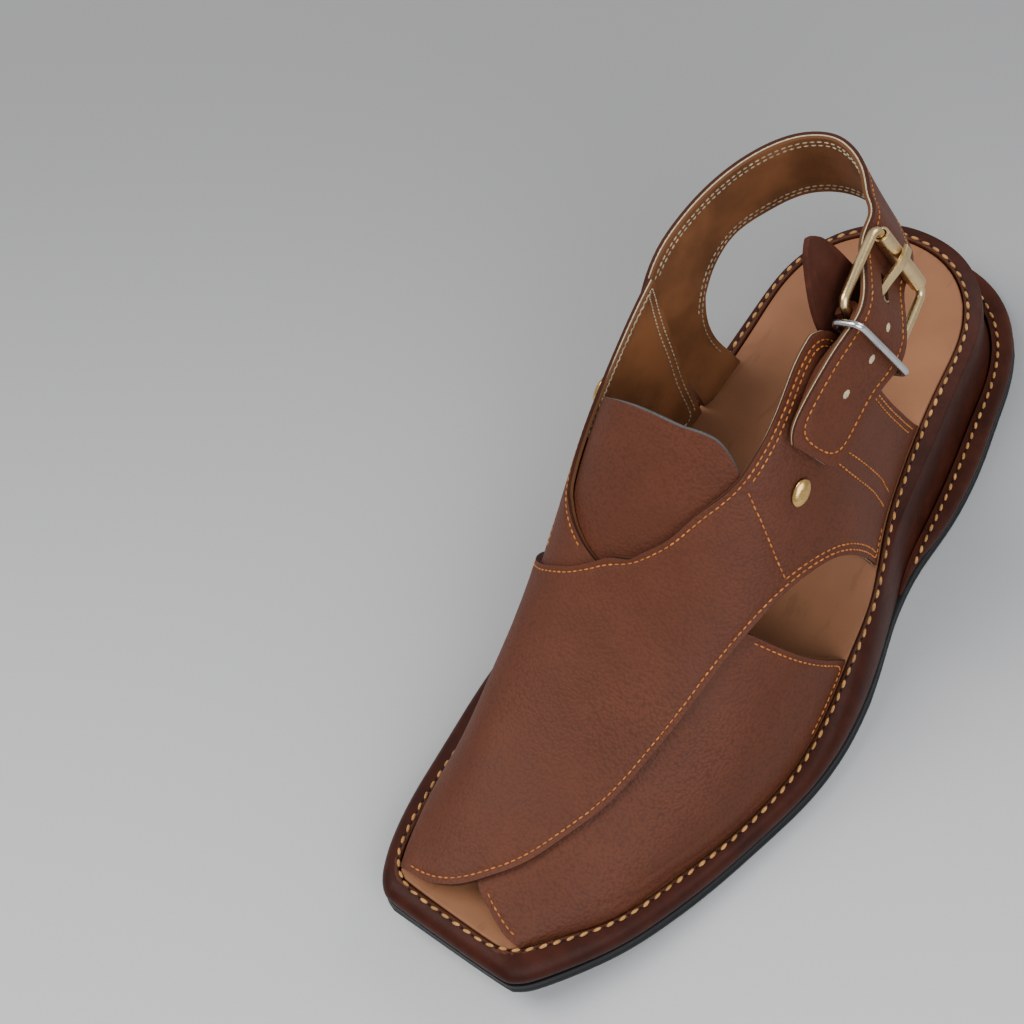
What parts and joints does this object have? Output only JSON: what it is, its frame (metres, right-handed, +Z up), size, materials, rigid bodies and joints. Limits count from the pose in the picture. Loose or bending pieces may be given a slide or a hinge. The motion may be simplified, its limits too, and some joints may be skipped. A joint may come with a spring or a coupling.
{
  "type": "chappal",
  "caption": "Leather chappal for the left foot with crossed vamp straps, an open square toe, side windows, a buckled heel strap and a raised leather-wrapped sole.",
  "frame": {"origin": "centre of the bounding box's base, on the floor under the sole", "axes": "toe towards -Y, heel towards +Y, lateral (outer) side of the left foot +X, medial side -X, +Z up"},
  "size_m": [0.1099, 0.29, 0.1371],
  "materials": {
    "outsole_rubber": "black, satin",
    "platform_leather": "dark red-brown, smooth, satin",
    "insole_leather": "tan, smooth",
    "upper_leather": "brown, pebbled grain",
    "tab_leather": "dark brown, smooth",
    "buckle_brass": "pale, polished",
    "keeper_steel": "silver, polished wire"
  },
  "bodies": {
    "root": {"outsole": "outsole_rubber", "midsole": "platform_leather", "heel_welt": "platform_leather", "insole": "insole_leather", "upper": "upper_leather", "tongue": "upper_leather", "heel_strap": "upper_leather", "buckle_strap": "upper_leather", "buckle_tab": "tab_leather", "buckle_frame": "buckle_brass", "buckle_roller": "buckle_brass", "buckle_prong": "buckle_brass", "strap_keeper": "keeper_steel", "rivet_lateral": "buckle_brass", "rivet_medial": "buckle_brass"}
  },
  "joints": []
}
